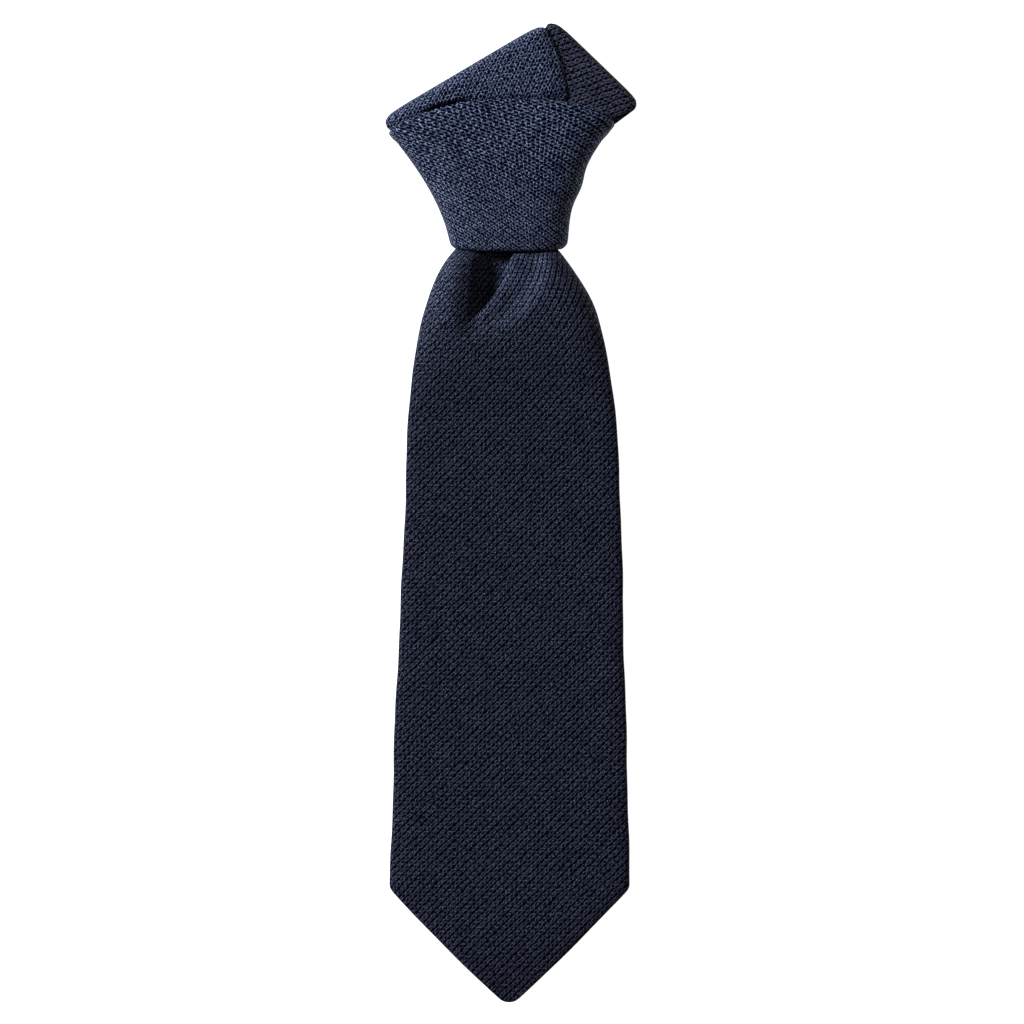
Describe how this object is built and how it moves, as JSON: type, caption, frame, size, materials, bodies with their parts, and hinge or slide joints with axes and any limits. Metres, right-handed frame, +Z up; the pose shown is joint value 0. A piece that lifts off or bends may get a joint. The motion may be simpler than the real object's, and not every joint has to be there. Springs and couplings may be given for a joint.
{
  "type": "necktie",
  "caption": "Knotted navy silk necktie lying face up: wide pointed blade, tapered knot, narrow tail behind, and the neck loop folded flat underneath.",
  "frame": {"origin": "on the surface that the tie lies on, below the middle of its outline", "axes": "+Z up through the layers towards the face of the tie, +Y along the tie from the blade's point to the knot, +X to the viewer's right"},
  "size_m": [0.085, 0.33, 0.019],
  "materials": {
    "silk_weave": "matte open-weave silk with diagonal ribs",
    "wool_interlining": "napped undyed wool",
    "satin_lining": "smooth satin",
    "sewing_thread": "twisted silk thread"
  },
  "bodies": {
    "knot": {"knot_front_wrap_shell": "silk_weave", "knot_front_wrap_interlining": "wool_interlining", "left_neck_band_shell": "silk_weave", "left_neck_band_interlining": "wool_interlining", "right_neck_band_shell": "silk_weave", "right_neck_band_interlining": "wool_interlining", "knot_back_wrap_shell": "silk_weave", "knot_back_wrap_interlining": "wool_interlining", "knot_inner_wrap_shell": "silk_weave", "knot_inner_wrap_interlining": "wool_interlining", "blade_passage_shell": "silk_weave", "blade_passage_interlining": "wool_interlining"},
    "blade": {"front_blade_shell": "silk_weave", "front_blade_interlining": "wool_interlining", "front_blade_tipping": "satin_lining", "keeper_loop": "silk_weave", "front_bar_tack": "sewing_thread", "front_slip_stitch": "sewing_thread"},
    "tail": {"tail_shell": "silk_weave", "tail_interlining": "wool_interlining", "tail_tipping": "satin_lining", "tail_bar_tack": "sewing_thread", "tail_slip_stitch": "sewing_thread"},
    "neck_loop": {"left_leg_shell": "silk_weave", "left_leg_interlining": "wool_interlining", "right_leg_shell": "silk_weave", "right_leg_interlining": "wool_interlining", "neck_turn_shell": "silk_weave", "neck_turn_interlining": "wool_interlining"}
  },
  "joints": [
    {"name": "blade_lift", "type": "hinge", "parent": "knot", "child": "blade", "pos_m": [0, 0.0885, 0.0153], "axis": [-1, 0, 0], "range_deg": [0, 90]},
    {"name": "tail_draw", "type": "slide", "parent": "knot", "child": "tail", "axis": [0, -1, -0.0099], "range_m": [-0.01, 0.035]},
    {"name": "loop_open", "type": "hinge", "parent": "knot", "child": "neck_loop", "pos_m": [0, 0.128, -0.0003], "axis": [1, 0, 0], "range_deg": [0, 165]}
  ]
}
